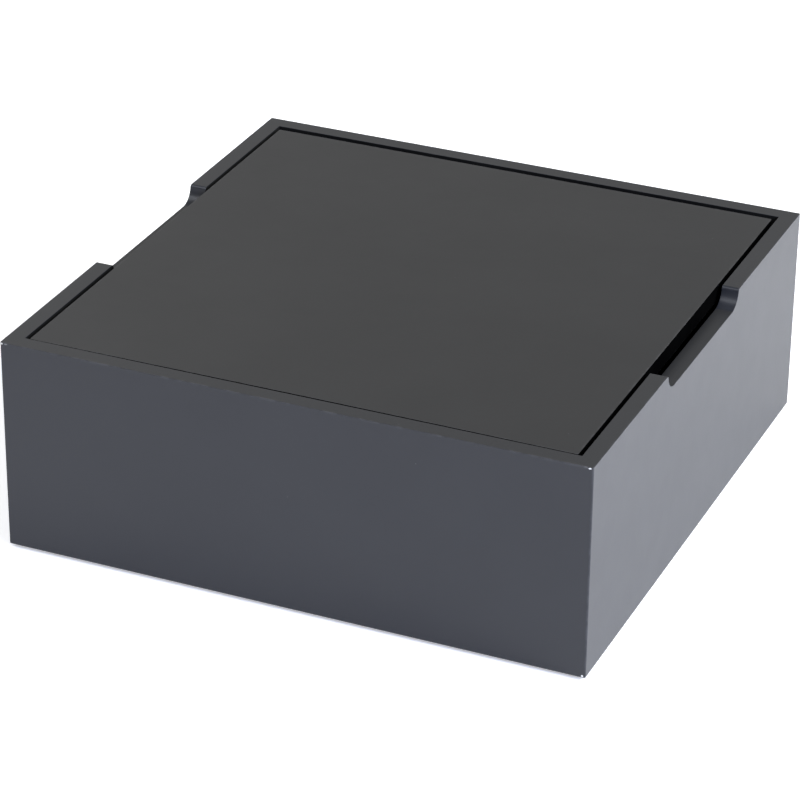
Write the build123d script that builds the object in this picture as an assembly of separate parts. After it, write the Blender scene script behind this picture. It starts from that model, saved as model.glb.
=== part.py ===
from build123d import *
import os

# A square painted-board napkin box with a loose lid that drops in flush with the rim.
# Millimetres, +Z up. The origin is the centre of the footprint, on the surface that the
# foot pads stand on. +X is the right-hand side and +Y is the back.

# ---- box ----
side = 205.0                # outside width and depth, square in plan
body_height = 75.0          # painted body, from the walls' bottom edge to the rim
board = 6.0                 # thickness of the wall boards and of the lid board
upright_round = 0.6         # rounding of the outer corners
foot_round = 2.0            # rounding of the outer bottom edge
rim_round = 0.2             # rounding of the rim's and lid's edges

# ---- lid ----
lid_side = 189.8            # square in plan
lid_front_gap = 0.3         # the lid is pushed up against the front wall
lid_corner_round = 0.5

# ---- finger notches in the left and right walls ----
notch_length = 70.0         # between the two upright ends
notch_depth = 6.0           # down to the level of the lid's underside
notch_lip_round = 1.2       # where the rim turns down into the notch

# ---- base panel, let into a rebate under the walls ----
base_thickness = 4.0
rebate_width = 3.0
base_fit = 0.1              # glue gap all round

# ---- corner posts, which carry the lid ----
post_side = 12.0
post_round = 2.0            # the post's edge that faces the napkins

# ---- countersunk screws, up through the base into the posts ----
screw_length = 16.0
screw_head_diameter = 6.0
screw_shank_diameter = 3.0
screw_point_length = 3.0
screw_hole_gap = 0.1        # radial clearance through the base panel
recess_width = 3.2          # cross recess in the head
recess_slot = 0.8
recess_depth = 1.2

# ---- headless pins across the mitres ----
pin_diameter = 0.64
pin_length = 14.0
pin_set_back = 1.0          # from the side wall's outer face, under filler and paint
pin_heights = (12.0, 37.5, 63.0)   # above the walls' bottom edge

# ---- foot pads, stuck over the screw heads ----
pad_diameter = 12.0
pad_height = 1.0
pad_round = 0.2

# ---- tolerances ----
tiny = 0.01                 # for comparing lengths and levels
almost_whole = 0.999        # a fillet can't take the whole of a straight side
aligned = 0.99              # cosine between two directions that count as parallel

# ---- levels and places that follow ----
body_bottom = pad_height
rim_top = body_bottom + body_height
lid_underside = rim_top - board
notch_floor = rim_top - notch_depth
base_top = body_bottom + base_thickness
half_side = side / 2
half_opening = half_side - board
post_centre = half_opening - post_side / 2
pin_line = half_side - board / 2
lid_centre_y = -half_opening + lid_front_gap + lid_side / 2

corners = {
    "front_left": (-1, -1),
    "front_right": (1, -1),
    "back_right": (1, 1),
    "back_left": (-1, 1),
}
wall_turns = {"front": 0, "right": 90, "back": 180, "left": 270}


def notch_cutter():
    """A bar through both side walls. Its bottom edges are quarter circles as deep as the notch."""
    outline = Rectangle(notch_length, 2 * notch_depth)
    low_corners = outline.vertices().filter_by(lambda v: v.Y < 0)
    outline = fillet(low_corners, notch_depth * almost_whole)
    return Pos(0, 0, rim_top) * extrude(Plane.YZ * outline, side, both=True)


def crosses_board(edge):
    """True for an edge that runs straight across the thickness of a side wall."""
    return abs(edge.length - board) < tiny and abs(edge.tangent_at(0.5).X) > aligned


def wall_ring():
    """The four walls in one piece, with every painted edge rounded, before the mitres part them."""
    middle = body_bottom + body_height / 2
    block = Pos(0, 0, middle) * Box(side, side, body_height)
    block = fillet(block.edges().filter_by(Axis.Z), upright_round)
    block = fillet(block.faces().sort_by(Axis.Z)[0].edges(), foot_round)
    ring = block - Pos(0, 0, middle) * Box(2 * half_opening, 2 * half_opening, 2 * body_height) - notch_cutter()
    lips = ring.edges().filter_by(lambda e: crosses_board(e) and e.center().Z > rim_top - tiny)
    ring = fillet(lips, notch_lip_round)
    upper_faces = ring.faces().filter_by(lambda f: f.center().Z > notch_floor - tiny)
    ring = fillet(upper_faces.edges().filter_by(lambda e: not crosses_board(e)), rim_round)
    rebate = 2 * (half_opening + rebate_width)
    return ring - Pos(0, 0, body_bottom) * Box(rebate, rebate, 2 * base_thickness)


def wall(ring, turn):
    """One wall: the part of the ring between two mitres. Turn 0 is the front wall."""
    wedge = extrude(Polygon((0, 0), (-side, -side), (side, -side), align=None), 2 * body_height)
    return ring & Rot(0, 0, turn) * wedge


def lid_panel():
    """A flat board, a little smaller than the opening, with its top level with the rim."""
    middle = Pos(0, lid_centre_y, lid_underside + board / 2)
    lid = middle * Box(lid_side, lid_side, board)
    lid = fillet(lid.edges().filter_by(Axis.Z), lid_corner_round)
    flat_faces = lid.faces().filter_by(Axis.Z)
    return fillet(flat_faces.edges(), rim_round)


def corner_post(x_sign, y_sign):
    """A square post glued into a corner, from the base up to the lid's underside."""
    height = lid_underside - base_top
    place = Pos(x_sign * post_centre, y_sign * post_centre, base_top + height / 2)
    post = place * Box(post_side, post_side, height)
    uprights = post.edges().filter_by(Axis.Z)
    inner_edge = uprights.sort_by(lambda e: abs(e.center().X) + abs(e.center().Y))[0]
    return fillet(inner_edge, post_round)


def base_screw():
    """A countersunk screw with its head down at Z = 0, on the Z axis."""
    head_radius = screw_head_diameter / 2
    shank_radius = screw_shank_diameter / 2
    cone_depth = head_radius - shank_radius
    shank_end = screw_length - screw_point_length
    profile = Polyline(
        (0, 0),
        (head_radius, 0),
        (shank_radius, cone_depth),
        (shank_radius, shank_end),
        (0, screw_length),
        close=True,
    )
    body = revolve(Plane.XZ * make_face(profile), Axis.Z)
    slot = Box(recess_width, recess_slot, 2 * recess_depth)
    return body - slot - Rot(0, 0, 90) * slot


def screw_hole():
    """The clearance hole and countersink for a base screw, head side at Z = 0."""
    head_radius = screw_head_diameter / 2
    hole_radius = screw_shank_diameter / 2 + screw_hole_gap
    profile = Polyline(
        (0, 0),
        (head_radius, 0),
        (hole_radius, head_radius - hole_radius),
        (hole_radius, base_thickness),
        (0, base_thickness),
        close=True,
    )
    return revolve(Plane.XZ * make_face(profile), Axis.Z)


def base_panel():
    """The bottom board, flush with the walls' bottom edge, with four countersunk holes."""
    base_side = 2 * (half_opening + rebate_width - base_fit)
    panel = Pos(0, 0, body_bottom + base_thickness / 2) * Box(base_side, base_side, base_thickness)
    for x_sign, y_sign in corners.values():
        panel -= Pos(x_sign * post_centre, y_sign * post_centre, body_bottom) * screw_hole()
    return panel


def corner_pins(x_sign, y_sign):
    """Headless pins that run along X, from a side wall across the mitre into the front or back wall."""
    middle = x_sign * (half_side - pin_set_back - pin_length / 2)
    lie_along_x = Rot(0, 90, 0)
    pins = [
        Pos(middle, y_sign * pin_line, body_bottom + height) * lie_along_x * Cylinder(pin_diameter / 2, pin_length)
        for height in pin_heights
    ]
    return Compound(children=pins)


def foot_pad(x_sign, y_sign):
    """A round felt pad, stuck over a screw head."""
    pad = Cylinder(pad_diameter / 2, pad_height, align=(Align.CENTER, Align.CENTER, Align.MIN))
    pad = fillet(pad.edges().sort_by(Axis.Z)[0], pad_round)
    return Pos(x_sign * post_centre, y_sign * post_centre, 0) * pad


def build():
    """Every sub-part by its node name."""
    nodes = {"lid_panel": lid_panel(), "base_panel": base_panel()}
    all_pins = []
    for corner, signs in corners.items():
        screw = Pos(signs[0] * post_centre, signs[1] * post_centre, body_bottom) * base_screw()
        nodes["corner_post_" + corner] = corner_post(*signs) - screw
        nodes["base_screw_" + corner] = screw
        nodes["foot_pad_" + corner] = foot_pad(*signs)
        nodes["corner_pins_" + corner] = corner_pins(*signs)
        all_pins += nodes["corner_pins_" + corner].solids()
    ring = wall_ring()
    for name, turn in wall_turns.items():
        nodes[name + "_wall"] = wall(ring, turn) - all_pins
    return nodes


os.makedirs("parts", exist_ok=True)
for node_name, shape in build().items():
    export_step(shape, "parts/" + node_name + ".step")
    print(node_name, len(shape.solids()), round(shape.volume, 2))
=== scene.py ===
# %% [markdown]
# # A napkin box with a drop-in lid
# The object is a square box of painted board, 205 mm on a side, with a loose lid that lies level with
# the rim. Two side walls have a shallow finger notch. The whole look is satin black lacquer: flat
# boards say little by themselves, so the edges, the gaps round the lid and the way the paint takes
# the light have to do the work.
#
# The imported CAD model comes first. It is the frame: it says where every board is and what moves.

# %% Load the frame
import math

import bmesh
import bpy
from mathutils import Matrix, Vector, noise


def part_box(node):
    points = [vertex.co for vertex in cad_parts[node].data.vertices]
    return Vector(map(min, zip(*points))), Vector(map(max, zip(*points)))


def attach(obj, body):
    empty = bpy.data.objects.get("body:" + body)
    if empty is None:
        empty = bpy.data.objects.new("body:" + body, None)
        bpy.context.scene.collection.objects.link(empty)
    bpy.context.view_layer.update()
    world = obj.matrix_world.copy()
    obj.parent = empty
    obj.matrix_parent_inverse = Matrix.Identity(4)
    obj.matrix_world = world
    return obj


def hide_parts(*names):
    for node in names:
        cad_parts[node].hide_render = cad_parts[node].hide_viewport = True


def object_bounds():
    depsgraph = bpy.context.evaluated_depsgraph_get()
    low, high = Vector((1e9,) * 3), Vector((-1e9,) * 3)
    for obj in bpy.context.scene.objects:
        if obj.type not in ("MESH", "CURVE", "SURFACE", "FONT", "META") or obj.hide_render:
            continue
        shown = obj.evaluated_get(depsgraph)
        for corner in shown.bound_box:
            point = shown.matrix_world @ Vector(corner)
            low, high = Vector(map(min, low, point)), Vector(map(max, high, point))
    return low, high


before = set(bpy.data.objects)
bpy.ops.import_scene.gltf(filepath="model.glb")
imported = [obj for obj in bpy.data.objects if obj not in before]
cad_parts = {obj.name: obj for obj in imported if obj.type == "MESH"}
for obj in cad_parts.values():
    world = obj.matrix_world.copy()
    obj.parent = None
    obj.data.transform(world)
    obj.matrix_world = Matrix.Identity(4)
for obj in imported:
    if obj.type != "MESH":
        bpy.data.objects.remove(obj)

cad_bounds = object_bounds()
CORNERS = ("front_left", "front_right", "back_right", "back_left")

# %% [markdown]
# ## Sizes
# Every size is read off the frame, so that the pieces made here land exactly on the CAD parts. A wall's
# box gives the outside and the board's thickness, the lid's box gives its gaps, and a foot pad's box
# gives the height that the body stands at. Only what a box can't tell, such as how round an edge is,
# is written out here.
#
# One size falls short of the CAD parts: the foot is 2 mm round there and 0.6 mm here.
# It is rounded after the uprights, and a clamped bevel can't be wider than the rounding it runs round,
# so a larger value would change nothing.

# %% Read the sizes off the frame
MM = 0.001

front_low, front_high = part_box("front_wall")
half_side = cad_bounds[1].x
body_low = front_low.z
rim_top = front_high.z
board = front_high.y - front_low.y
half_opening = half_side - board
base_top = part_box("base_panel")[1].z
lid_low, lid_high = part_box("lid_panel")
rebate_width = 3.0 * MM

upright_round = 0.6 * MM    # outer upright edges
foot_round = 0.6 * MM       # outer bottom edge
rim_round = 0.08 * MM       # rim, notches and lid
notch_half = 35.0 * MM      # half the notch's length between its upright ends
notch_depth = 6.0 * MM
lip_round = 1.2 * MM        # where the rim turns down into the notch

print(f"side {2 * half_side / MM:.1f} mm, body {(rim_top - body_low) / MM:.1f} mm")
print(f"board {board / MM:.1f} mm")
print(f"lid {(lid_high.x - lid_low.x) / MM:.1f} mm, front gap {(lid_low.y + half_opening) / MM:.2f} mm")

# %% [markdown]
# ## Camera
# A long lens from a little to the right of the front, and well above the rim, so that the lid, the
# front and the right wall all show. Its place is given in widths of the box, which keeps the view the
# same if the box is ever made in another size. It is turned a touch about its own axis.

# %% Set up the camera
VIEW_AZIMUTH = math.radians(23.22)
VIEW_ELEVATION = math.radians(27.50)
VIEW_ROLL = math.radians(0.63)
VIEW_DISTANCE = 5.835              # in widths of the box
VIEW_AIM = (-0.0268, 0.0, 0.1287)  # in widths, from the middle of the body's underside
LENS = 156.56


def set_up_camera():
    """Places the camera on a sphere round the aim point and rolls it about its own axis."""
    width = 2 * half_side
    aim = Vector(VIEW_AIM) * width + Vector((0, 0, body_low))
    back = Vector((
        math.sin(VIEW_AZIMUTH) * math.cos(VIEW_ELEVATION),
        -math.cos(VIEW_AZIMUTH) * math.cos(VIEW_ELEVATION),
        math.sin(VIEW_ELEVATION),
    ))
    camera = bpy.data.objects.new("camera", bpy.data.cameras.new("camera"))
    bpy.context.scene.collection.objects.link(camera)
    camera.location = aim + back * VIEW_DISTANCE * width
    camera.rotation_mode = "QUATERNION"
    facing = (-back).to_track_quat("-Z", "Y")
    camera.rotation_quaternion = facing @ Matrix.Rotation(VIEW_ROLL, 3, "Z").to_quaternion()
    camera.data.lens = LENS
    camera.data.sensor_width = 36
    camera.data.clip_start = 0.05
    camera.data.clip_end = 100
    bpy.context.scene.camera = camera
    return camera


camera = set_up_camera()
print("camera at", [round(c, 3) for c in camera.location])

# %% [markdown]
# ## Node helpers
# Materials and the room's backdrop are made of shader nodes. Three small functions keep that short: one
# adds a node with its settings, one links sockets, and one does arithmetic on sockets or numbers.

# %% Helpers for nodes
def socket_of(sockets, label):
    """A node's socket by its number or its label. Of several with one label, the one that is in use."""
    if isinstance(label, int):
        return sockets[label]
    return next(s for s in sockets if s.name == label and s.enabled)


def new_node(tree, kind, inputs=None, **settings):
    """Adds a shader node, sets its properties, and gives its inputs constants or links."""
    node = tree.nodes.new(kind)
    for name, value in settings.items():
        setattr(node, name, value)
    for label, value in (inputs or {}).items():
        socket = socket_of(node.inputs, label)
        if isinstance(value, bpy.types.NodeSocket):
            tree.links.new(value, socket)
        else:
            socket.default_value = value
    return node


def calc(tree, operation, first, second=0.0):
    """A Math node on sockets or numbers."""
    return new_node(tree, "ShaderNodeMath", {0: first, 1: second}, operation=operation).outputs[0]


def calc_vector(tree, operation, first, second=(0.0, 0.0, 0.0)):
    """A Vector Math node on sockets or vectors."""
    node = new_node(tree, "ShaderNodeVectorMath", {0: first, 1: second}, operation=operation)
    return node.outputs["Vector"]


def fade(tree, value, start, end, low=0.0, high=1.0):
    """A value that goes from start to end becomes one that goes from low to high, with soft ends."""
    limits = {"Value": value, "From Min": start, "From Max": end, "To Min": low, "To Max": high}
    return new_node(tree, "ShaderNodeMapRange", limits, interpolation_type="SMOOTHSTEP").outputs[0]


def mix(tree, kind, share, first, second):
    """A Mix node for kind FLOAT or RGBA: first where share is 0, second where it is 1."""
    node = new_node(tree, "ShaderNodeMix", {"Factor": share}, data_type=kind)
    for label, value in (("A", first), ("B", second)):
        socket = socket_of(node.inputs, label)
        if isinstance(value, bpy.types.NodeSocket):
            tree.links.new(value, socket)
        else:
            socket.default_value = value
    return socket_of(node.outputs, "Result")


# %% [markdown]
# ## Studio
# Black lacquer shows mostly what it mirrors, so the studio is part of the finish. At this angle the
# front wall mirrors the floor before it, the right wall mirrors the floor beside it at a grazing
# angle, and the lid mirrors the back of the room. So the room is pale at the horizon and dim above,
# and soft boxes light the white floor: one overhead on the left, which also makes the small
# highlights on edges, a strong one on the right, and a cool one in front on the right. One on the left
# takes the shadow off the floor there, and a weak one behind it lets the lid grow paler towards it.
# The floor is a lit table. Its own glow keeps it white right up to the foot of the box.

# %% Make the room, the lights and the floor
TABLE_GLOW = 0.38
FLOOR_HALF_SIZE = 8    # metres


def make_world():
    """A plain room: pale round the horizon, dimmer higher up, where the lid mirrors it."""
    world = bpy.data.worlds.new("studio")
    world.use_nodes = True
    tree = world.node_tree
    tree.nodes.clear()
    place = new_node(tree, "ShaderNodeTexCoord").outputs["Generated"]
    height = new_node(tree, "ShaderNodeSeparateXYZ", {0: place}).outputs["Z"]
    ramp = new_node(tree, "ShaderNodeValToRGB", {"Fac": height})
    low_stop, high_stop = ramp.color_ramp.elements
    low_stop.position = 0.06
    low_stop.color = (0.85, 0.85, 0.85, 1)
    high_stop.position = 0.36
    high_stop.color = (0.345, 0.345, 0.345, 1)
    room = new_node(tree, "ShaderNodeBackground", {"Color": ramp.outputs["Color"], "Strength": 1.0})
    new_node(tree, "ShaderNodeOutputWorld", {"Surface": room.outputs[0]})
    bpy.context.scene.world = world


def soft_box(name, place, aim, size, power, tint=(1, 1, 1)):
    """A large rectangular light that faces a point."""
    light = bpy.data.lights.new(name, "AREA")
    light.shape = "RECTANGLE"
    light.size, light.size_y = size
    light.energy = power
    light.color = tint
    lamp = bpy.data.objects.new(name, light)
    bpy.context.scene.collection.objects.link(lamp)
    lamp.location = place
    lamp.rotation_mode = "QUATERNION"
    lamp.rotation_quaternion = (Vector(aim) - Vector(place)).to_track_quat("-Z", "Y")
    return lamp


def make_floor():
    """A white table top, far larger than the view and lit a little from below."""
    bm = bmesh.new()
    bmesh.ops.create_grid(bm, x_segments=1, y_segments=1, size=FLOOR_HALF_SIZE)
    mesh = bpy.data.meshes.new("floor")
    bm.to_mesh(mesh)
    bm.free()
    floor = bpy.data.objects.new("floor", mesh)
    bpy.context.scene.collection.objects.link(floor)
    material = bpy.data.materials.new("white_table")
    material.use_nodes = True
    shader = material.node_tree.nodes["Principled BSDF"]
    shader.inputs["Base Color"].default_value = (0.86, 0.86, 0.87, 1)
    shader.inputs["Roughness"].default_value = 0.7
    shader.inputs["Emission Color"].default_value = (1, 1, 1, 1)
    shader.inputs["Emission Strength"].default_value = TABLE_GLOW
    mesh.materials.append(material)
    return floor


bpy.context.scene.view_settings.view_transform = "Standard"
make_world()
floor = make_floor()
soft_box("overhead", (-0.55, -0.65, 1.25), (0, 0, 0.05), size=(0.7, 0.7), power=7, tint=(0.90, 0.93, 1.0))
soft_box("side", (1.3, 0.1, 1.0), (0.15, 0.1, 0), size=(0.9, 0.9), power=37, tint=(0.98, 1.0, 0.97))
soft_box("cool", (1.3, -0.8, 0.7), (0.15, -0.05, 0), size=(0.8, 0.6), power=20, tint=(0.50, 0.60, 1.0))
soft_box("left", (-1.4, 0.3, 0.9), (-0.25, 0, 0), size=(0.9, 0.6), power=6)
soft_box("back", (-1.2, 1.2, 1.4), (0, 0, 0), size=(0.9, 0.9), power=1.2)

# %% [markdown]
# ## What a painted finish is made of
# Sprayed lacquer dries with a faint orange peel, a skin of ripples a millimetre or two across. It is
# too shallow to see as a shape and only loosens the reflections, so it is a bump. No coat goes on
# evenly, so the tone and the gloss drift a little. Dust that lands in wet paint leaves a few nibs. On
# corners the coat is thin, and a knock breaks a chip out of it, down to the pale primer.
#
# Each of these is a node group, built once. The walls, the lid and the inside use them with their own
# values. All of them work on Object coordinates, because the boards are in their real place and size:
# a metre of pattern is a metre of board, and a pattern runs on across a joint.

# %% Node groups for paint
SOCKET_KINDS = {1: "NodeSocketFloat", 3: "NodeSocketVector", 4: "NodeSocketColor"}
ORIGIN = (0.0, 0.0, 0.0)


def new_group(name, inputs, outputs):
    """A shader node group. inputs gives each socket its default; outputs lists (label, kind)."""
    group = bpy.data.node_groups.new(name, "ShaderNodeTree")
    for label, default in inputs.items():
        size = len(default) if isinstance(default, tuple) else 1
        socket = group.interface.new_socket(label, in_out="INPUT", socket_type=SOCKET_KINDS[size])
        socket.default_value = default
    for label, kind in outputs:
        group.interface.new_socket(label, in_out="OUTPUT", socket_type="NodeSocket" + kind)
    given = group.nodes.new("NodeGroupInput").outputs
    out = group.nodes.new("NodeGroupOutput").inputs
    return group, given, out


def noise_at(tree, vector, per_metre, detail=2.0):
    """A Noise texture; per_metre is how many blots fit in a metre."""
    inputs = {"Vector": vector, "Scale": per_metre, "Detail": detail}
    return new_node(tree, "ShaderNodeTexNoise", inputs).outputs[0]


def make_orange_peel():
    """The height of a sprayed coat: broad ripples and a fine grit."""
    inputs = {"Vector": ORIGIN, "Ripple": 0.5, "Grit": 0.15}
    group, given, out = new_group("orange_peel", inputs, [("Height", "Float")])
    ripple = calc(group, "MULTIPLY", noise_at(group, given["Vector"], 560), given["Ripple"])
    grit = calc(group, "MULTIPLY", noise_at(group, given["Vector"], 3600), given["Grit"])
    group.links.new(calc(group, "ADD", ripple, grit), out["Height"])
    return group


def make_uneven_coat():
    """Tone and gloss that drift slowly over the surface."""
    inputs = {
        "Vector": ORIGIN,
        "Full Coat": (0.02, 0.02, 0.02, 1.0),
        "Thin Coat": (0.03, 0.03, 0.03, 1.0),
        "Smoothest": 0.3,
        "Roughest": 0.4,
    }
    group, given, out = new_group("uneven_coat", inputs, [("Color", "Color"), ("Roughness", "Float")])
    cloud = fade(group, noise_at(group, given["Vector"], 34, 4), 0.3, 0.7)
    drift = fade(group, noise_at(group, given["Vector"], 90, 5), 0.25, 0.75)
    group.links.new(mix(group, "RGBA", cloud, given["Full Coat"], given["Thin Coat"]), out["Color"])
    group.links.new(mix(group, "FLOAT", drift, given["Smoothest"], given["Roughest"]), out["Roughness"])
    return group


def make_dust_nibs():
    """Specks of dust under the paint: a sparse scatter of small soft dots."""
    inputs = {"Vector": ORIGIN, "Per Metre": 160.0, "Share": 0.06, "Radius": 0.00025}
    group, given, out = new_group("dust_nibs", inputs, [("Mask", "Float")])
    scatter = {"Vector": given["Vector"], "Scale": given["Per Metre"]}
    cells = new_node(group, "ShaderNodeTexVoronoi", scatter)
    reach = calc(group, "MULTIPLY", given["Radius"], given["Per Metre"])
    nearness = calc(group, "DIVIDE", cells.outputs["Distance"], reach)
    draw = new_node(group, "ShaderNodeSeparateColor", {"Color": cells.outputs["Color"]})
    chosen = calc(group, "LESS_THAN", draw.outputs["Red"], given["Share"])
    dot = fade(group, nearness, 0.3, 1.0, 1.0, 0.0)
    group.links.new(calc(group, "MULTIPLY", dot, chosen), out["Mask"])
    return group


def make_paint_chip():
    """A chip with a ragged outline: 1 inside an ellipsoid round its centre, 0 outside."""
    inputs = {"Vector": ORIGIN, "Centre": ORIGIN, "Half Size": (0.001, 0.001, 0.001)}
    group, given, out = new_group("paint_chip", inputs, [("Mask", "Float")])
    place = calc_vector(group, "SUBTRACT", given["Vector"], given["Centre"])
    scaled = calc_vector(group, "DIVIDE", place, given["Half Size"])
    distance = new_node(group, "ShaderNodeVectorMath", {0: scaled}, operation="LENGTH").outputs["Value"]
    ragged = calc(group, "ADD", distance, noise_at(group, given["Vector"], 2600, 3))
    group.links.new(fade(group, ragged, 1.3, 1.5, 1.0, 0.0), out["Mask"])
    return group


def make_board_edge():
    """1 on the edges of a box, 0 on its flats, from the second smallest distance to its planes."""
    inputs = {"Vector": ORIGIN, "Middle": ORIGIN, "Half Size": (0.1, 0.1, 0.1), "Reach": 0.001}
    group, given, out = new_group("board_edge", inputs, [("Mask", "Float")])
    from_middle = calc_vector(group, "SUBTRACT", given["Vector"], given["Middle"])
    inset = calc_vector(group, "SUBTRACT", given["Half Size"], calc_vector(group, "ABSOLUTE", from_middle))
    x, y, z = new_node(group, "ShaderNodeSeparateXYZ", {0: inset}).outputs
    nearer = calc(group, "MINIMUM", x, y)
    farther = calc(group, "MAXIMUM", x, y)
    second = calc(group, "MAXIMUM", nearer, calc(group, "MINIMUM", farther, z))
    share = calc(group, "DIVIDE", second, given["Reach"])
    group.links.new(fade(group, share, 0.0, 1.0, 1.0, 0.0), out["Mask"])
    return group


groups = {
    "orange_peel": make_orange_peel(),
    "uneven_coat": make_uneven_coat(),
    "dust_nibs": make_dust_nibs(),
    "paint_chip": make_paint_chip(),
    "board_edge": make_board_edge(),
}
print("node groups:", ", ".join(groups))


# %% [markdown]
# ## Lacquer
# The walls are a blue-black and the lid a neutral black. The walls' blue tint is partly painted light:
# it stands in for the cool light that they mirror. The inside has one thin matt coat, darker than the
# walls, which is partly painted shade that makes the gaps look deep. The top of the rim gets a paler,
# shinier copy of the wall lacquer: painted light for the brighter sheen of the rim. The lid's sides get
# a near-black dead matt paint, painted shade, so that the gap round it looks deep. The five differ only
# in tint, gloss, shine and wear, so one function makes them all. It sets up the Principled shader and
# feeds it from the groups: the coat, then nibs, then worn edges, then chips on top, in the order in
# which they happen to the real paint.

# %% Make the lacquers
PRIMER = (0.62, 0.62, 0.61, 1)
DUST = (0.16, 0.16, 0.17, 1)
COAT_RELIEF = 20e-6      # metres from the lowest to the highest point of the coat
NIB_HEIGHT = 1.5         # in coat reliefs
CHIP_DEPTH = 4.0


def place_group(tree, name, place, inputs=None):
    """Adds a node group that reads Object coordinates."""
    given = {"Vector": place, **(inputs or {})}
    return new_node(tree, "ShaderNodeGroup", given, node_tree=groups[name]).outputs


def lacquer(name, full_coat, thin_coat, gloss, low, high, shine=0.5, wear=0.1, nib_share=0.06, chips=()):
    """A sprayed coat on a box from low to high. chips lists (centre, half size, how bare), in metres."""
    material = bpy.data.materials.new(name)
    material.use_nodes = True
    tree = material.node_tree
    shader = tree.nodes["Principled BSDF"]
    place = new_node(tree, "ShaderNodeTexCoord").outputs["Object"]
    tones = {"Full Coat": full_coat, "Thin Coat": thin_coat, "Smoothest": gloss[0], "Roughest": gloss[1]}
    coat = place_group(tree, "uneven_coat", place, tones)
    nibs = place_group(tree, "dust_nibs", place, {"Share": nib_share})["Mask"]
    box_size = {"Middle": tuple((low + high) / 2), "Half Size": tuple((high - low) / 2), "Reach": 0.0009}
    edge = place_group(tree, "board_edge", place, box_size)["Mask"]
    patchy = fade(tree, noise_at(tree, place, 300, 4), 0.42, 0.62)
    worn = calc(tree, "MULTIPLY", calc(tree, "MULTIPLY", edge, patchy), wear)
    bare = 0.0
    for centre, half_size, bareness in chips:
        chip = place_group(tree, "paint_chip", place, {"Centre": centre, "Half Size": half_size})["Mask"]
        bare = calc(tree, "MAXIMUM", bare, calc(tree, "MULTIPLY", chip, bareness))
    colour = mix(tree, "RGBA", calc(tree, "MULTIPLY", nibs, 0.6), coat["Color"], DUST)
    colour = mix(tree, "RGBA", worn, colour, DUST)
    colour = mix(tree, "RGBA", bare, colour, PRIMER)
    roughness = mix(tree, "FLOAT", bare, coat["Roughness"], 0.75)
    peel = place_group(tree, "orange_peel", place)["Height"]
    height = calc(tree, "ADD", peel, calc(tree, "MULTIPLY", nibs, NIB_HEIGHT))
    height = calc(tree, "SUBTRACT", height, calc(tree, "MULTIPLY", bare, CHIP_DEPTH))
    bump = new_node(tree, "ShaderNodeBump", {"Height": height, "Distance": COAT_RELIEF, "Strength": 1.0})
    tree.links.new(colour, shader.inputs["Base Color"])
    tree.links.new(roughness, shader.inputs["Roughness"])
    tree.links.new(bump.outputs["Normal"], shader.inputs["Normal"])
    shader.inputs["Specular IOR Level"].default_value = shine
    return material


body_corner = Vector((half_side, half_side, rim_top))
body_low_corner = Vector((-half_side, -half_side, body_low))
front_chips = (
    ((half_side - 1.2 * MM, -half_side + 0.1 * MM, rim_top - 0.4 * MM), (0.00060, 0.0005, 0.00034), 1.0),
    ((half_side - 2.4 * MM, -half_side + 0.1 * MM, rim_top - 0.25 * MM), (0.0009, 0.0004, 0.0003), 0.06),
    ((-half_side + 0.8 * MM, -half_side + 0.1 * MM, rim_top - 0.4 * MM), (0.00035, 0.0005, 0.0004), 1.0),
    ((-half_side + 2.2 * MM, -half_side + 0.1 * MM, rim_top - 0.4 * MM), (0.0006, 0.0004, 0.0003), 0.2),
    ((half_side - 1.1 * MM, -half_side + 0.1 * MM, body_low + 0.8 * MM), (0.0004, 0.0005, 0.0004), 1.0),
)
materials = {
    # The walls' blue tint is partly painted light: it stands in for the cool light that the walls mirror.
    "body": lacquer(
        "blue_black_lacquer",
        full_coat=(0.0105, 0.0120, 0.0170, 1),
        thin_coat=(0.0120, 0.0135, 0.0185, 1),
        gloss=(0.350, 0.365),
        low=body_low_corner,
        high=body_corner,
        shine=0.41,
        chips=front_chips,
    ),
    # Painted light: the rim tops get a paler, shinier copy of the wall lacquer for the brighter sheen they
    # show.
    "rim": lacquer(
        "paler_rim_lacquer_painted_light",
        full_coat=(0.0175, 0.0178, 0.0188, 1),
        thin_coat=(0.0190, 0.0193, 0.0203, 1),
        gloss=(0.350, 0.365),
        low=body_low_corner,
        high=body_corner,
        shine=0.46,
        chips=front_chips,
    ),
    "lid": lacquer(
        "black_lacquer",
        full_coat=(0.0145, 0.0145, 0.0145, 1),
        thin_coat=(0.0160, 0.0160, 0.0160, 1),
        gloss=(0.35, 0.38),
        low=lid_low,
        high=lid_high,
        wear=0.1,
        nib_share=0.02,
    ),
    # Partly painted shade: the inside coat is matt, and darker than the walls so that the gaps round the
    # lid look deep.
    "inside": lacquer(
        "matt_inner_lacquer_partly_painted_shade",
        full_coat=(0.0030, 0.0030, 0.0032, 1),
        thin_coat=(0.0060, 0.0059, 0.0057, 1),
        gloss=(0.66, 0.76),
        low=Vector((-half_opening, -half_opening, body_low)),
        high=Vector((half_opening, half_opening, rim_top)),
        shine=0.15,
        wear=0.0,
        nib_share=0.15,
    ),
    # Painted shade: the lid's sides are near black and dead matt, so the gap round the lid looks deep.
    "edge": lacquer(
        "dead_matt_lid_sides_painted_shade",
        full_coat=(0.0006, 0.0006, 0.0007, 1),
        thin_coat=(0.0014, 0.0014, 0.0014, 1),
        gloss=(0.85, 0.95),
        low=lid_low,
        high=lid_high,
        shine=0.0,
        wear=0.0,
        nib_share=0.02,
    ),
}
print("lacquers:", ", ".join(materials))

# %% [markdown]
# ## Bare board, zinc and felt
# Where a board is cut and glued it is left unpainted: brown fibreboard, with short fibres that lie
# every way. Screws and pins are zinc-plated, which gives them a mottled, cloudy shine. The foot pads
# are pressed felt. Its fibres are drawn by a noise that is itself pushed about by a coarser one, so
# that they curl.

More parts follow.
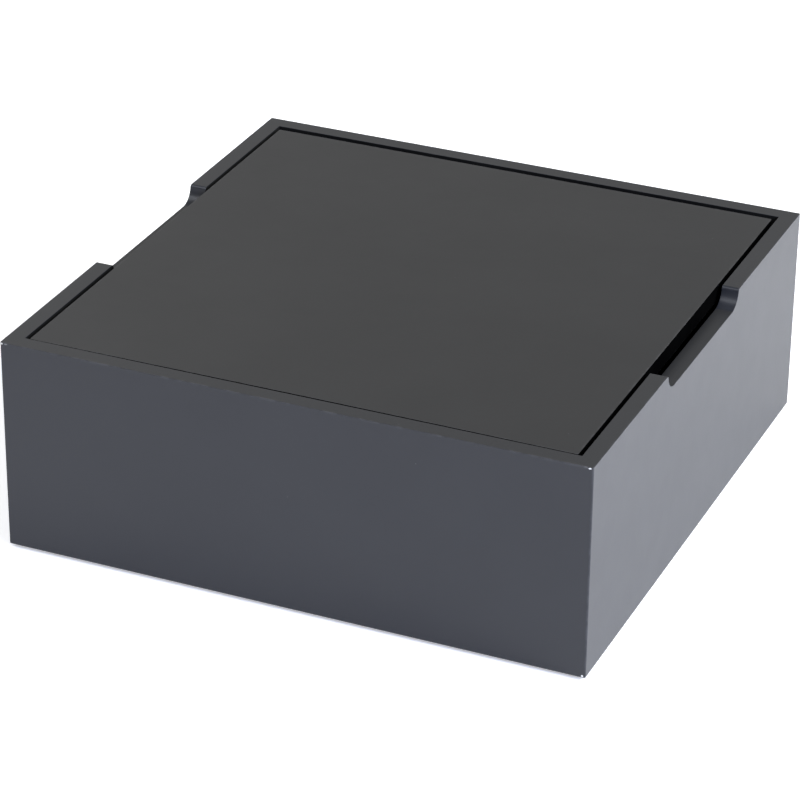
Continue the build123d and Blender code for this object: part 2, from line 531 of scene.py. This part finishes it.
# %% Make the other materials
def fibre_material(name, dark, light, per_metre, stretch, roughness, relief, sheen=0.0):
    """A mat of short fibres: bent, stretched noise for the colour and the relief."""
    material = bpy.data.materials.new(name)
    material.use_nodes = True
    tree = material.node_tree
    shader = tree.nodes["Principled BSDF"]
    place = new_node(tree, "ShaderNodeTexCoord").outputs["Object"]
    swirl = new_node(tree, "ShaderNodeTexNoise", {"Vector": place, "Scale": per_metre * 0.2})
    push = calc_vector(tree, "MULTIPLY", swirl.outputs["Color"], (0.006, 0.006, 0.006))
    bent = calc_vector(tree, "ADD", place, push)
    lengthened = calc_vector(tree, "MULTIPLY", bent, stretch)
    fibres = fade(tree, noise_at(tree, lengthened, per_metre, 6), 0.32, 0.68)
    patches = noise_at(tree, place, per_metre * 0.1, 3)
    tone = calc(tree, "MULTIPLY", calc(tree, "ADD", fibres, patches), 0.6)
    bump = new_node(tree, "ShaderNodeBump", {"Height": fibres, "Distance": relief, "Strength": 1.0})
    tree.links.new(mix(tree, "RGBA", tone, dark, light), shader.inputs["Base Color"])
    tree.links.new(fade(tree, fibres, 0, 1, roughness, roughness - 0.1), shader.inputs["Roughness"])
    tree.links.new(bump.outputs["Normal"], shader.inputs["Normal"])
    shader.inputs["Sheen Weight"].default_value = sheen
    return material


def zinc_material():
    """Bright zinc plate with cloudy patches and a fine grain."""
    material = bpy.data.materials.new("zinc_plate")
    material.use_nodes = True
    tree = material.node_tree
    shader = tree.nodes["Principled BSDF"]
    place = new_node(tree, "ShaderNodeTexCoord").outputs["Object"]
    cloud = fade(tree, noise_at(tree, place, 900, 4), 0.35, 0.65)
    grain = noise_at(tree, place, 9000, 2)
    bump = new_node(tree, "ShaderNodeBump", {"Height": grain, "Distance": 5e-6, "Strength": 1.0})
    bright, dull = (0.66, 0.67, 0.69, 1), (0.45, 0.46, 0.50, 1)
    tree.links.new(mix(tree, "RGBA", cloud, bright, dull), shader.inputs["Base Color"])
    tree.links.new(fade(tree, cloud, 0, 1, 0.26, 0.45), shader.inputs["Roughness"])
    tree.links.new(bump.outputs["Normal"], shader.inputs["Normal"])
    shader.inputs["Metallic"].default_value = 1.0
    return material


materials["bare"] = fibre_material(
    "bare_fibreboard",
    dark=(0.16, 0.095, 0.050, 1),
    light=(0.40, 0.26, 0.15, 1),
    per_metre=1400,
    stretch=(1.0, 1.0, 3.0),
    roughness=0.95,
    relief=40e-6,
)
materials["felt"] = fibre_material(
    "charcoal_felt",
    dark=(0.012, 0.012, 0.013, 1),
    light=(0.060, 0.060, 0.064, 1),
    per_metre=2400,
    stretch=(1.0, 2.2, 1.0),
    roughness=1.0,
    relief=120e-6,
    sheen=0.35,
)
materials["zinc"] = zinc_material()
print("materials:", ", ".join(materials))


# %% [markdown]
# ## Tools for making pieces
# A piece starts as a bmesh and ends as an object at the origin, with its place in its mesh, just as a
# CAD node is. It is shaded smooth with its sharp edges marked, and a Weighted Normal modifier keeps
# the big faces truly flat right up to their rounded edges. Without it, a flat lacquered board would
# seem dished.

# %% Helpers for pieces
SHARP_ANGLE = math.radians(40)
MERGE_DISTANCE = 1e-6    # metres


def edge_middle(edge):
    """The point half-way along an edge."""
    return (edge.verts[0].co + edge.verts[1].co) / 2


def runs_along(edge, axis):
    """True for an edge parallel to axis 0, 1 or 2."""
    return abs((edge.verts[1].co - edge.verts[0].co).normalized()[axis]) > 0.99


def near(a, b):
    """True for two lengths within a micrometre."""
    return abs(a - b) < 1e-6


def round_edges(bm, edges, radius, segments):
    """Rounds these edges with quarter circles."""
    bmesh.ops.bevel(
        bm,
        geom=edges,
        offset=radius,
        offset_type="OFFSET",
        affect="EDGES",
        segments=segments,
        profile=0.5,
        material=-1,
        clamp_overlap=True,
    )


def verts_of(made):
    """The vertices in what a bmesh operator returned."""
    return [item for item in made if isinstance(item, bmesh.types.BMVert)]


def faces_of(made):
    """The faces in what a bmesh operator returned."""
    return [item for item in made if isinstance(item, bmesh.types.BMFace)]


def finish_piece(bm, name, coats, body, nodes):
    """Makes the bmesh an object that rides on a body and stands for CAD nodes."""
    open_edges = sum(not edge.is_manifold for edge in bm.edges)
    volume = bm.calc_volume() / MM**3
    mesh = bpy.data.meshes.new(name)
    bm.to_mesh(mesh)
    bm.free()
    for coat in coats:
        mesh.materials.append(materials[coat])
    mesh.shade_smooth()
    mesh.set_sharp_from_angle(angle=SHARP_ANGLE)
    piece = bpy.data.objects.new(name, mesh)
    bpy.context.scene.collection.objects.link(piece)
    flat_faces = piece.modifiers.new("flat_faces", "WEIGHTED_NORMAL")
    flat_faces.keep_sharp = True
    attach(piece, body)
    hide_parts(*nodes)
    print(f"{name}: {len(mesh.polygons)} faces, {volume:.0f} cubic mm, {open_edges} open edges")
    return piece


# %% [markdown]
# ## The four walls
# A real wall is sawn from board, notched, rebated along its foot for the base, and mitred at both
# ends. The mesh is made in that order. Half the face's outline is laid out from the middle: the notch
# floor, a quarter circle up, a smaller one the other way that turns into the rim, then the corner.
# Mirror gives the other half. The outline is thickened in two steps, because the foot is only half as
# thick as the rest, which leaves the rebate. Then every painted edge is rounded, as sanding does.
#
# The mitres come last. Cutting a rounded board with a slanted plane leaves exactly the joint of two
# rounded boards, which rounding a mitred board would not.

# %% Make the walls
FACE_COAT, INNER_COAT, BARE_BOARD, RIM_COAT = 0, 1, 2, 3


def half_notch(bm):
    """The floor, the quarter circle and the lip of half a notch. Returns the last vertex, on the rim."""
    hollow = Vector((notch_half - notch_depth, 0, rim_top))
    floor_end = bm.verts.new(hollow - Vector((0, 0, notch_depth)))
    bm.edges.new((bm.verts.new((0, 0, floor_end.co.z)), floor_end))
    tilt = math.asin(lip_round / (notch_depth + lip_round))
    crown = hollow + Vector((math.cos(tilt), 0, -math.sin(tilt))) * (notch_depth + lip_round)
    last = floor_end
    for centre, axis_y, steps in ((hollow, -1, 14), (crown, 1, 7)):
        arc = bmesh.ops.spin(
            bm,
            geom=[last],
            cent=centre,
            axis=(0, axis_y, 0),
            dvec=(0, 0, 0),
            angle=math.pi / 2 - tilt,
            steps=steps,
            use_merge=False,
        )
        last = verts_of(arc["geom_last"])[0]
    return last


def wall_face(bm, notched):
    """The whole outer face as one polygon, standing on the X axis."""
    last = half_notch(bm) if notched else bm.verts.new((0, 0, rim_top))
    for x, z in ((half_side, rim_top), (half_side, body_low), (0, body_low)):
        following = bm.verts.new((x, 0, z))
        bm.edges.new((last, following))
        last = following
    bmesh.ops.mirror(bm, geom=bm.verts[:] + bm.edges[:], axis="X", merge_dist=1e-6)
    bmesh.ops.contextual_create(bm, geom=bm.edges[:])


def thicken(bm, faces, depth):
    """Pulls faces back by a depth and returns the new back faces."""
    made = bmesh.ops.extrude_face_region(bm, geom=faces)["geom"]
    bmesh.ops.translate(bm, verts=verts_of(made), vec=(0, depth, 0))
    return faces_of(made)


def rebated_board(bm):
    """Thickens the outline: half a board at the foot, a whole one above it."""
    whole = bm.verts[:] + bm.edges[:] + bm.faces[:]
    bmesh.ops.bisect_plane(bm, geom=whole, dist=1e-7, plane_co=(0, 0, base_top), plane_no=(0, 0, 1))
    back = thicken(bm, bm.faces[:], rebate_width)
    upper = [face for face in back if face.calc_center_median().z > base_top]
    thicken(bm, upper, board - rebate_width)
    bmesh.ops.delete(bm, geom=upper, context="FACES_ONLY")
    bmesh.ops.recalc_face_normals(bm, faces=bm.faces[:])
    bmesh.ops.dissolve_limit(bm, angle_limit=math.radians(0.5), verts=bm.verts[:], edges=bm.edges[:])


def is_outer_upright(edge):
    """True for the upright edges of the outer face."""
    middle = edge_middle(edge)
    return runs_along(edge, 2) and near(abs(middle.x), half_side) and near(middle.y, 0)


def is_foot(edge):
    """True for the bottom edges that show: along the outer face and at both ends."""
    verts_low = all(near(vert.co.z, body_low) for vert in edge.verts)
    middle = edge_middle(edge)
    runs_round = runs_along(edge, 0) and near(middle.y, 0)
    return verts_low and (runs_round or near(abs(middle.x), half_side) or middle.y < upright_round)


def is_rim(edge):
    """True for the edges of the rim and the notch, but not the lines across the board."""
    high_enough = min(vert.co.z for vert in edge.verts) > rim_top - notch_depth - 1e-6
    across_notch = runs_along(edge, 1) and abs(edge_middle(edge).x) < half_opening
    return high_enough and not across_notch and edge.calc_face_angle() > math.radians(60)


def round_painted_edges(bm):
    """Rounds the outer uprights, then the foot, and then, most finely, the rim and the notch."""
    for belongs, radius, segments in (
        (is_outer_upright, upright_round, 6),
        (is_foot, foot_round, 8),
        (is_rim, rim_round, 4),
    ):
        round_edges(bm, [edge for edge in bm.edges if belongs(edge)], radius, segments)


def coat_faces(bm):
    """Darker matt coat on the inner face, partly painted shade; a paler copy on the rim, painted light;
    bare board in the rebate.
    """
    bm.normal_update()
    for face in bm.faces:
        middle = face.calc_center_median()
        faces_in = face.normal.y > 0.99
        in_rebate = near(middle.y, rebate_width) or near(middle.z, base_top)
        if faces_in and near(middle.y, board):
            face.material_index = INNER_COAT
        elif in_rebate and (faces_in or face.normal.z < -0.99):
            face.material_index = BARE_BOARD
        # Faces that look up, the rim and notch floors, get the paler copy: painted light.
        elif face.normal.z > 0.99:
            face.material_index = RIM_COAT


def mitre(bm):
    """Saws both ends off at 45 degrees and closes the cuts."""
    bmesh.ops.remove_doubles(bm, verts=bm.verts[:], dist=MERGE_DISTANCE)
    for end in (-1, 1):
        bmesh.ops.bisect_plane(
            bm,
            geom=bm.verts[:] + bm.edges[:] + bm.faces[:],
            dist=1e-7,
            plane_co=(end * half_side, 0, 0),
            plane_no=(end, 1, 0),
            clear_outer=True,
        )
        rim_of_cut = [edge for edge in bm.edges if edge.is_boundary]
        bmesh.ops.edgeloop_fill(bm, edges=rim_of_cut, mat_nr=BARE_BOARD)
        bmesh.ops.remove_doubles(bm, verts=bm.verts[:], dist=MERGE_DISTANCE)
    bmesh.ops.recalc_face_normals(bm, faces=bm.faces[:])


def wall_board(side_name, turn, notched):
    """One wall, turned into its place."""
    bm = bmesh.new()
    wall_face(bm, notched)
    rebated_board(bm)
    round_painted_edges(bm)
    coat_faces(bm)
    mitre(bm)
    into_place = Matrix.Rotation(math.radians(turn), 4, "Z") @ Matrix.Translation((0, -half_side, 0))
    bmesh.ops.transform(bm, matrix=into_place, verts=bm.verts[:])
    coats = ("body", "inside", "bare", "rim")
    return finish_piece(bm, side_name + "_board", coats, "box", [side_name + "_wall"])


for side_name, turn, notched in (
    ("front", 0, False),
    ("right", 90, True),
    ("back", 180, False),
    ("left", 270, True),
):
    wall_board(side_name, turn, notched)

# %% [markdown]
# ## The lid
# A flat square of the same board. Its corners are eased a little more than its edges, so the uprights
# are rounded first and the loops round the top and the underside after them. It lies loose in the
# opening: pushed up against the front wall, with about 3 mm to spare at the back, and turned by a
# hair. That uneven gap is what tells the eye that the lid isn't fixed. Its front edge is planed a
# little hollow, so the line between lid and wall is darkest in the middle and closes at the ends.

# %% Make the lid
lid_corner_round = 0.5 * MM
LID_TURN = math.radians(0.05)
FRONT_HOLLOW = 0.35 * MM
HOLLOW_CUTS = 11
UNDERSIDE_COAT, SIDE_COAT = 1, 2


def hollow_front_edge(bm):
    """Planes the front edge hollow: not at its ends, and most in its middle."""
    half = (lid_high.x - lid_low.x) / 2
    for cut in range(1, HOLLOW_CUTS + 1):
        x = half * (2 * cut / (HOLLOW_CUTS + 1) - 1)
        whole = bm.verts[:] + bm.edges[:] + bm.faces[:]
        bmesh.ops.bisect_plane(bm, geom=whole, dist=1e-7, plane_co=(x, 0, 0), plane_no=(1, 0, 0))
    for vert in bm.verts:
        if vert.co.y < lid_corner_round - half:
            vert.co.y += FRONT_HOLLOW * (1 - (vert.co.x / half) ** 2)


def lid_board():
    """The loose lid."""
    bm = bmesh.new()
    bmesh.ops.create_cube(bm, size=1)
    bmesh.ops.scale(bm, vec=lid_high - lid_low, verts=bm.verts[:])
    round_edges(bm, [edge for edge in bm.edges if runs_along(edge, 2)], lid_corner_round, 6)
    rims = [edge for edge in bm.edges if not runs_along(edge, 2)]
    round_edges(bm, rims, rim_round, 4)
    bm.normal_update()
    for face in bm.faces:
        if face.normal.z < -0.99:
            face.material_index = UNDERSIDE_COAT
        # The sides get the near-black dead matt paint, which is painted shade for the gap.
        elif abs(face.normal.z) < 0.01:
            face.material_index = SIDE_COAT
    hollow_front_edge(bm)
    bmesh.ops.rotate(bm, cent=(0, 0, 0), matrix=Matrix.Rotation(LID_TURN, 3, "Z"), verts=bm.verts[:])
    bmesh.ops.translate(bm, vec=(lid_low + lid_high) / 2, verts=bm.verts[:])
    return finish_piece(bm, "lid_board", ("lid", "inside", "edge"), "lid", ["lid_panel"])


lid_board()

# %% [markdown]
# ## The corner posts
# A square post stands in each corner. It stiffens the mitre and carries the lid. Only its inner edge
# is rounded, where the napkins slide past. A pilot hole is drilled up its foot for the screw: the
# foot's edges are divided, the face is inset, the inset ring is made round, and the round is sunk.

# %% Make the posts
post_round = 2.0 * MM
post_ease = 0.25 * MM
bore_radius = 1.5 * MM
BORE_CUTS = 5      # extra points along each edge of the foot


def drill_foot(bm, axis, depth):
    """Sinks a round hole with a pointed end into the lowest face, on a vertical axis through a point."""
    foot = min(bm.faces, key=lambda face: face.calc_center_median().z)
    straight = [edge for edge in foot.edges if edge.calc_length() > post_round]
    bmesh.ops.subdivide_edges(bm, edges=straight, cuts=BORE_CUTS)
    foot = min(bm.faces, key=lambda face: face.calc_center_median().z)
    bmesh.ops.inset_region(bm, faces=[foot], thickness=post_round, use_even_offset=True)
    lowest = [face for face in bm.faces if near(face.calc_center_median().z, axis.z)]
    foot = min(lowest, key=lambda face: (face.calc_center_median() - axis).length)
    for vert in foot.verts:
        outward = (vert.co - axis) * Vector((1, 1, 0))
        vert.co = Vector((axis.x, axis.y, vert.co.z)) + outward.normalized() * bore_radius
    made = bmesh.ops.extrude_face_region(bm, geom=[foot])["geom"]
    bmesh.ops.translate(bm, vec=(0, 0, depth), verts=verts_of(made))
    bmesh.ops.delete(bm, geom=[foot], context="FACES_ONLY")
    end = faces_of(made)
    tip = bmesh.ops.poke(bm, faces=end)["verts"]
    bmesh.ops.translate(bm, vec=(0, 0, 2 * bore_radius), verts=tip)
    bmesh.ops.recalc_face_normals(bm, faces=bm.faces[:])


def corner_post(corner):
    """One post, with its rounded edge towards the middle of the box."""
    low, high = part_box("corner_post_" + corner)
    middle = (low + high) / 2
    bm = bmesh.new()
    bmesh.ops.create_cube(bm, size=1)
    bmesh.ops.scale(bm, vec=high - low, verts=bm.verts[:])
    bmesh.ops.translate(bm, vec=middle, verts=bm.verts[:])
    uprights = [edge for edge in bm.edges if runs_along(edge, 2)]
    uprights.sort(key=lambda edge: edge_middle(edge).xy.length)
    round_edges(bm, uprights[:1], post_round, 8)
    top_edges = [edge for edge in bm.edges if all(near(vert.co.z, high.z) for vert in edge.verts)]
    round_edges(bm, top_edges, post_ease, 3)
    screw_low, screw_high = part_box("base_screw_" + corner)
    axis = (screw_low + screw_high) / 2
    drill_foot(bm, Vector((axis.x, axis.y, low.z)), screw_high.z - low.z - 2 * bore_radius)
    name = "post_" + corner
    return finish_piece(bm, name, ("inside",), "box", ["corner_post_" + corner])


for corner in CORNERS:
    corner_post(corner)

# %% [markdown]
# ## The screws
# A countersunk screw with a cross recess holds the base to each post. The CAD screw has the right
# head, recess and point but a plain shank. A copy of it is merged and gets its thread: a small
# triangle, spun round the shank and along it at the same time.

# %% Make the screws
thread_pitch = 1.3 * MM
thread_height = 0.45 * MM
thread_turns = 7
thread_sink = 0.2 * MM      # how deep the ridge's foot is sunk in the shank
thread_start = 4.2 * MM     # above the screw's lowest point
STEPS_A_TURN = 20


def cut_thread(bm, axis, start):
    """Winds a closed ridge up the shank from a starting point beside it."""
    half_foot = thread_pitch * 0.3
    root = start - Vector((thread_sink, 0, 0))
    foot = Vector((0, 0, half_foot))
    corners = [root - foot, start + Vector((thread_height, 0, 0)), root + foot]
    section = bm.faces.new([bm.verts.new(point) for point in corners])
    bmesh.ops.spin(
        bm,
        geom=[section],
        cent=axis,
        axis=(0, 0, 1),
        dvec=(0, 0, thread_pitch / STEPS_A_TURN),
        angle=2 * math.pi * thread_turns,
        steps=thread_turns * STEPS_A_TURN,
        use_merge=False,
    )


def screw(corner):
    """A copy of the CAD screw with a thread round its shank."""
    node = "base_screw_" + corner
    low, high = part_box(node)
    middle = (low + high) / 2
    bm = bmesh.new()
    bm.from_mesh(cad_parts[node].data)
    bmesh.ops.remove_doubles(bm, verts=bm.verts[:], dist=MERGE_DISTANCE)
    start = Vector((middle.x + bore_radius, middle.y, low.z + thread_start))
    cut_thread(bm, middle, start)
    bmesh.ops.recalc_face_normals(bm, faces=bm.faces[:])
    return finish_piece(bm, "screw_" + corner, ("zinc",), "box", [node])


for corner in CORNERS:
    screw(corner)

# %% [markdown]
# ## The felt pads
# Punched felt is never quite round: the punch pulls the fibres and the edge waves. Each pad is a disc
# with a rounded lower edge, and its side is drawn in here and there by a slow noise. It only moves
# inwards, so that the pad stays inside its real size.

# %% Make the pads
PAD_SEGMENTS = 72
pad_round = 0.2 * MM
PAD_WAVE = 0.18 * MM
WAVES_PER_METRE = 700


def felt_pad(corner):
    """One pad, standing on the floor."""
    node = "foot_pad_" + corner
    low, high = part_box(node)
    middle = (low + high) / 2
    radius = (high.x - low.x) / 2
    bm = bmesh.new()
    bmesh.ops.create_cone(
        bm, cap_ends=True, segments=PAD_SEGMENTS, radius1=radius, radius2=radius, depth=high.z - low.z
    )
    bmesh.ops.translate(bm, vec=middle, verts=bm.verts[:])
    sides = [edge for edge in bm.edges if runs_along(edge, 2)]
    bmesh.ops.subdivide_edges(bm, edges=sides, cuts=3, use_grid_fill=True)
    foot_edges = [edge for edge in bm.edges if near(edge_middle(edge).z, low.z)]
    round_edges(bm, foot_edges, pad_round, 3)
    for vert in bm.verts:
        wave = 0.5 + 0.5 * noise.noise(vert.co * WAVES_PER_METRE)
        inward = (Vector((middle.x, middle.y, vert.co.z)) - vert.co).normalized()
        vert.co += inward * wave * PAD_WAVE
    return finish_piece(bm, "pad_" + corner, ("felt",), "box", [node])


for corner in CORNERS:
    felt_pad(corner)

# %% [markdown]
# ## Parts that stay as the CAD made them
# The base panel is a plain board with four countersunk holes, and the pins are plain wire. Their
# shapes are already right, so they stay, and only get their finish. A CAD node's material is set on
# its object's slot, which leaves its mesh as it was.

# %% Finish the CAD parts
def give_finish(node, coat):
    """Puts a material on every slot of a CAD node's object."""
    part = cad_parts[node]
    for place_on in part.material_slots:
        place_on.link = "OBJECT"
        place_on.material = materials[coat]


give_finish("base_panel", "inside")
for corner in CORNERS:
    give_finish("corner_pins_" + corner, "zinc")
kept = [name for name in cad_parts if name.startswith(("base_panel", "corner_pins"))]
print("CAD parts kept:", kept)
